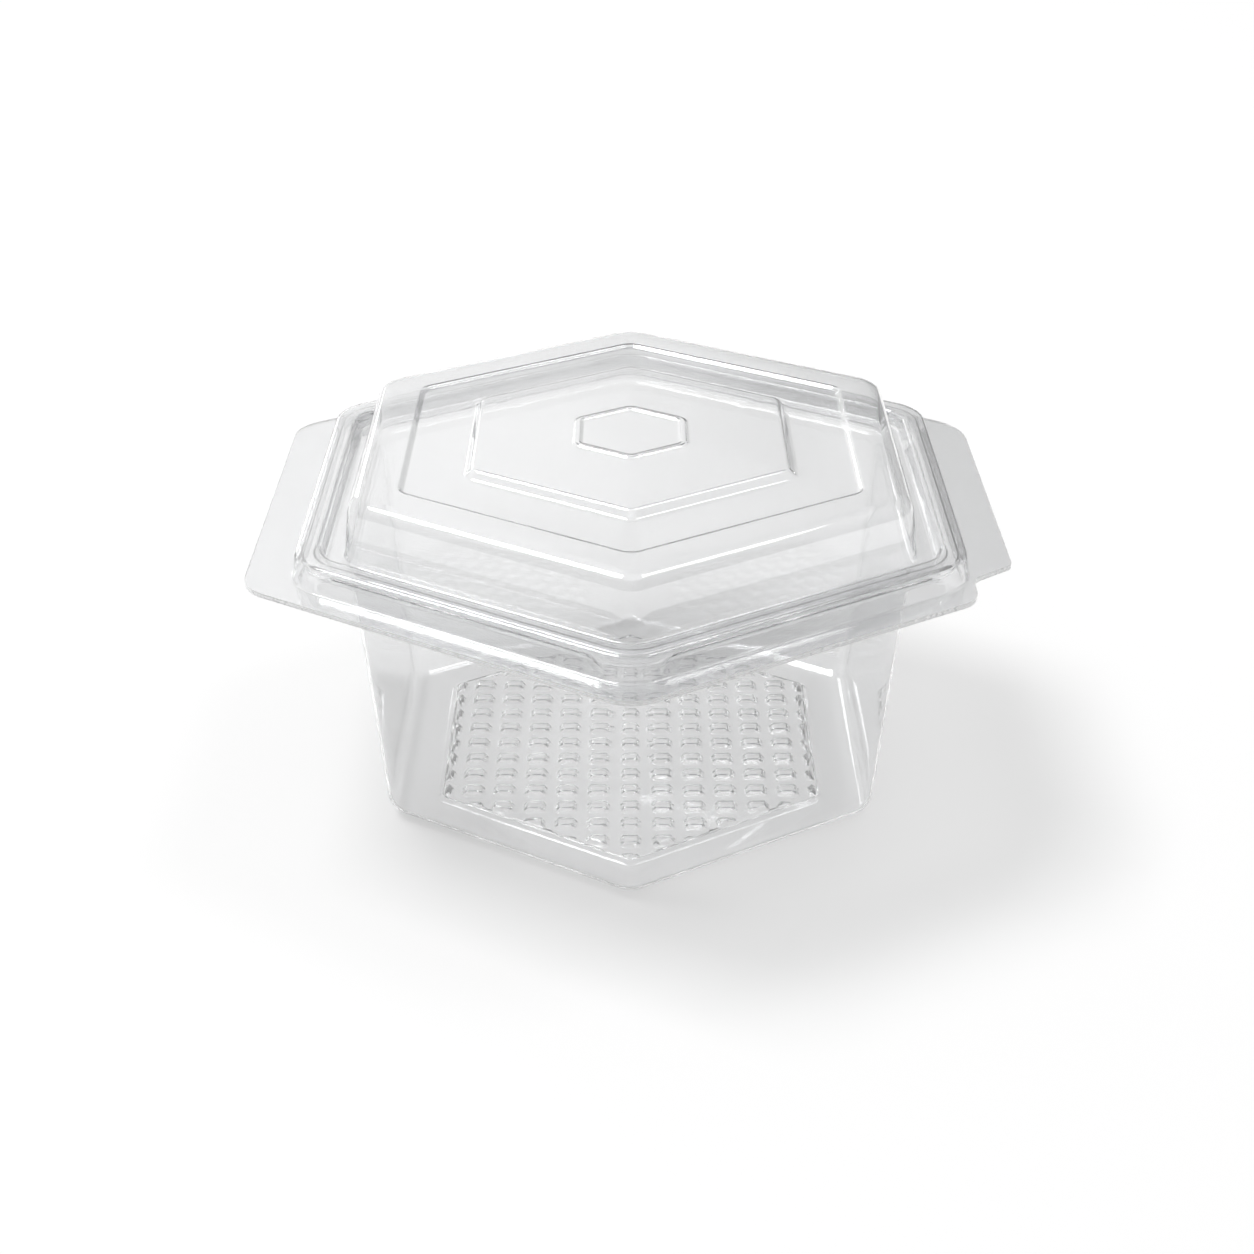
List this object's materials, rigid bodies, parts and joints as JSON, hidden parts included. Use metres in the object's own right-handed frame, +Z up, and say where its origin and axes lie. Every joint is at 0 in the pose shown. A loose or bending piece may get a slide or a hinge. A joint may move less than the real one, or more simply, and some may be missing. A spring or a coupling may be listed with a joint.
{
  "type": "hinged food container",
  "caption": "Clear six-sided clamshell container of formed sheet: a tapered tray with a waffle floor, and a shallow domed lid that folds open at one side and nests over the tray's rim.",
  "frame": {"origin": "under the middle of the closed container, on the face it stands on", "axes": "+Z up, +X towards the finger tab, the fold runs along Y at the -X side, and -Y points to the front"},
  "size_m": [0.1456, 0.156, 0.0736],
  "materials": {
    "clear_sheet": "clear, glossy"
  },
  "bodies": {
    "tray": {"tray": "clear_sheet"},
    "lid": {"lid": "clear_sheet"}
  },
  "joints": [
    {"name": "lid_fold", "type": "hinge", "parent": "tray", "child": "lid", "pos_m": [-0.07275, 0, 0.0576], "axis": [0, -1, 0], "range_deg": [0, 180]}
  ]
}
